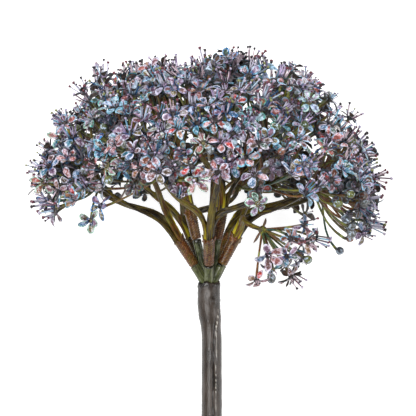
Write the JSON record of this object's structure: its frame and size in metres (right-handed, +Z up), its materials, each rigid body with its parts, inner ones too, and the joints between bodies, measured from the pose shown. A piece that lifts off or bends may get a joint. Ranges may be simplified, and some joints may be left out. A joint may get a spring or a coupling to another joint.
{
  "type": "trachelium flower head",
  "caption": "Domed flower head of tiny five-petalled lilac-blue florets on branching green-brown rays, with a short cut stem, lying on its side.",
  "frame": {"origin": "bottom centre of the box around the flower head as it lies on its cut stem and lowest florets", "axes": "+Z up from the surface it lies on; +Y along the lying stem from the cut end towards the head; +X to the right seen from the stem's side"},
  "size_m": [0.1426, 0.1686, 0.123],
  "materials": {
    "stem": "satin, dark grey-brown bark-like skin",
    "prong": "satin sage green",
    "sleeve": "satin ridged brown",
    "branch": "satin grooved olive green and brown",
    "floret": "soft satin petals, lavender to pale blue with pink centres"
  },
  "bodies": {
    "root": {"main_stem": "stem", "prong_crown": "prong", "spray_1_sleeve": "sleeve", "spray_1_branch_a": "branch", "spray_1_umbel_a": "floret", "spray_1_branch_b": "branch", "spray_1_umbel_b": "floret", "spray_1_branch_c": "branch", "spray_1_umbel_c": "floret", "spray_2_sleeve": "sleeve", "spray_2_branch_a": "branch", "spray_2_umbel_a": "floret", "spray_2_branch_b": "branch", "spray_2_umbel_b": "floret", "spray_2_branch_c": "branch", "spray_2_umbel_c": "floret", "spray_3_sleeve": "sleeve", "spray_3_branch_a": "branch", "spray_3_umbel_a": "floret", "spray_3_branch_b": "branch", "spray_3_umbel_b": "floret", "spray_3_branch_c": "branch", "spray_3_umbel_c": "floret", "spray_4_sleeve": "sleeve", "spray_4_branch_a": "branch", "spray_4_umbel_a": "floret", "spray_4_branch_b": "branch", "spray_4_umbel_b": "floret", "spray_4_branch_c": "branch", "spray_4_umbel_c": "floret", "spray_5_sleeve": "sleeve", "spray_5_branch_a": "branch", "spray_5_umbel_a": "floret", "spray_5_branch_b": "branch", "spray_5_umbel_b": "floret", "spray_5_branch_c": "branch", "spray_5_umbel_c": "floret", "spray_6_sleeve": "sleeve", "spray_6_branch_a": "branch", "spray_6_umbel_a": "floret", "spray_6_branch_b": "branch", "spray_6_umbel_b": "floret", "spray_6_branch_c": "branch", "spray_6_umbel_c": "floret", "spray_7_sleeve": "sleeve", "spray_7_branch_a": "branch", "spray_7_umbel_a": "floret", "spray_7_branch_b": "branch", "spray_7_umbel_b": "floret", "spray_7_branch_c": "branch", "spray_7_umbel_c": "floret", "spray_8_sleeve": "sleeve", "spray_8_branch_a": "branch", "spray_8_umbel_a": "floret", "spray_8_branch_b": "branch", "spray_8_umbel_b": "floret", "spray_8_branch_c": "branch", "spray_8_umbel_c": "floret"}
  },
  "joints": []
}
